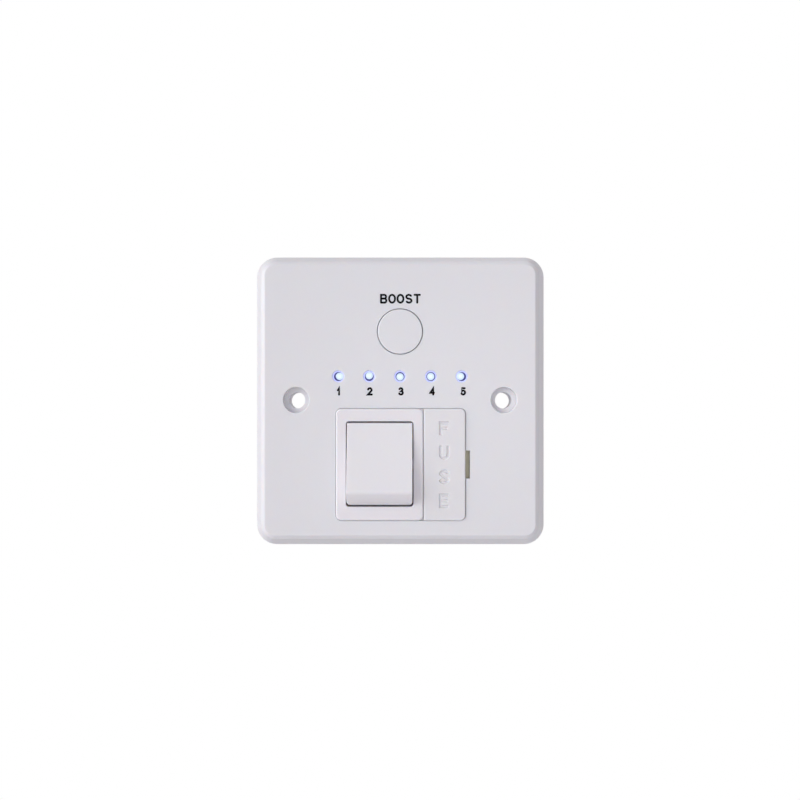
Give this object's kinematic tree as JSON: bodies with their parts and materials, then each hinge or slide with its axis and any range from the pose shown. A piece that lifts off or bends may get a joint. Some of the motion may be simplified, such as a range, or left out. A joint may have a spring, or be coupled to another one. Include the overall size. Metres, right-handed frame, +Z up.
{
  "type": "boost timer wall plate",
  "caption": "Square white wall-plate boost timer with a round push button, a row of indicator lamps, a rocker supply switch and a pull-out fuse carrier.",
  "frame": {"origin": "centre of the plate on the wall surface, midway between the two fixing holes", "axes": "+X to the right seen from the front, +Y into the wall, +Z up; the face looks along -Y"},
  "size_m": [0.086, 0.0373, 0.086],
  "materials": {
    "plate_white": "moulded, satin gloss",
    "button_white": "moulded, satin gloss",
    "frame_white": "moulded, gloss",
    "rocker_white": "moulded, gloss",
    "carrier_white": "moulded, gloss",
    "lamp_clear": "clear resin",
    "tinned": "tinned wire",
    "holder_black": "moulded",
    "board_green": "solder resist on glass laminate",
    "relay_black": "sealed case",
    "capacitor_yellow": "moulded box",
    "can_black": "shrunk sleeve",
    "varistor_blue": "dipped coat",
    "chip_black": "moulded package",
    "crystal_can": "drawn can",
    "resistor_grey": "lacquered",
    "zinc": "zinc plated",
    "brass": "bright brass",
    "silver": "contact silver",
    "spring_steel": "spring wire",
    "plunger_white": "acetal",
    "fuse_ceramic": "fired body",
    "fuse_cap": "plated cap",
    "base_grey": "thermoset moulding",
    "housing_white": "moulded, textured"
  },
  "bodies": {
    "plate": {"faceplate": "plate_white", "tact_switch_body": "holder_black", "led_1": "lamp_clear", "led_2": "lamp_clear", "led_3": "lamp_clear", "led_4": "lamp_clear", "led_5": "lamp_clear", "led_leads": "tinned", "led_holder": "holder_black", "control_board": "board_green", "relay": "relay_black", "supply_capacitor": "capacitor_yellow", "smoothing_capacitor": "can_black", "varistor": "varistor_blue", "microcontroller": "chip_black", "bridge_rectifier": "chip_black", "timing_crystal": "crystal_can", "dropper_resistor": "resistor_grey", "relay_driver": "chip_black", "board_screws": "zinc", "switch_frame": "frame_white", "upper_fuse_clip": "brass", "lower_fuse_clip": "brass", "neutral_busbar": "brass", "line_out_strip": "brass", "switch_base": "base_grey", "rear_housing": "housing_white", "housing_screws": "zinc", "terminal_screws": "zinc", "terminal_neutral_out": "brass", "terminal_neutral_in": "brass", "terminal_line_in": "brass", "terminal_earth": "brass", "terminal_line_out": "brass", "fixed_contact_neutral": "silver", "neutral_in_strip": "brass", "fixed_contact_line": "silver", "line_in_strip": "brass"},
    "button": {"boost_button": "button_white"},
    "tact_plunger": {"tact_switch_plunger": "holder_black"},
    "rocker": {"switch_rocker": "rocker_white", "spring_line": "spring_steel", "spring_neutral": "spring_steel"},
    "line_pin": {"plunger_line": "plunger_white"},
    "neutral_pin": {"plunger_neutral": "plunger_white"},
    "line_bridge": {"moving_contact_line": "brass"},
    "neutral_bridge": {"moving_contact_neutral": "brass"},
    "carrier": {"fuse_carrier": "carrier_white", "fuse_tube": "fuse_ceramic", "fuse_caps": "fuse_cap"}
  },
  "joints": [
    {"name": "boost_press", "type": "slide", "parent": "plate", "child": "button", "axis": [0, 1, 0], "range_m": [0, 0.0006], "stiffness_N_per_m": 2500, "springref_m": -0.0002},
    {"name": "tact_press", "type": "slide", "parent": "plate", "child": "tact_plunger", "axis": [0, 1, 0], "range_m": [0, 0.0003]},
    {"name": "rocker_tilt", "type": "hinge", "parent": "plate", "child": "rocker", "pos_m": [-0.00588, -0.007, -0.01855], "axis": [1, 0, 0], "range_deg": [0, 18.2]},
    {"name": "neutral_pin_slide", "type": "slide", "parent": "rocker", "child": "neutral_pin", "axis": [0, -0.9874, 0.1582], "range_m": [0, 0.0006], "stiffness_N_per_m": 1500, "springref_m": -0.001, "deforming": ["spring_neutral"]},
    {"name": "line_pin_slide", "type": "slide", "parent": "rocker", "child": "line_pin", "axis": [0, -0.9874, 0.1582], "range_m": [0, 0.0006], "stiffness_N_per_m": 1500, "springref_m": -0.001, "deforming": ["spring_line"]},
    {"name": "neutral_bridge_rock", "type": "hinge", "parent": "plate", "child": "neutral_bridge", "pos_m": [-0.01029, 0.00125, -0.01855], "axis": [1, 0, 0], "range_deg": [-17, 0]},
    {"name": "line_bridge_rock", "type": "hinge", "parent": "plate", "child": "line_bridge", "pos_m": [-0.00148, 0.00125, -0.01855], "axis": [1, 0, 0], "range_deg": [-17, 0]},
    {"name": "carrier_pull", "type": "slide", "parent": "plate", "child": "carrier", "axis": [0, -1, 0], "range_m": [0, 0.013]}
  ],
  "couplings": [
    {"joint": "tact_press", "follows": "boost_press", "ratio": 0.5},
    {"joint": "neutral_bridge_rock", "follows": "rocker_tilt", "ratio": -0.934},
    {"joint": "line_bridge_rock", "follows": "rocker_tilt", "ratio": -0.934}
  ]
}
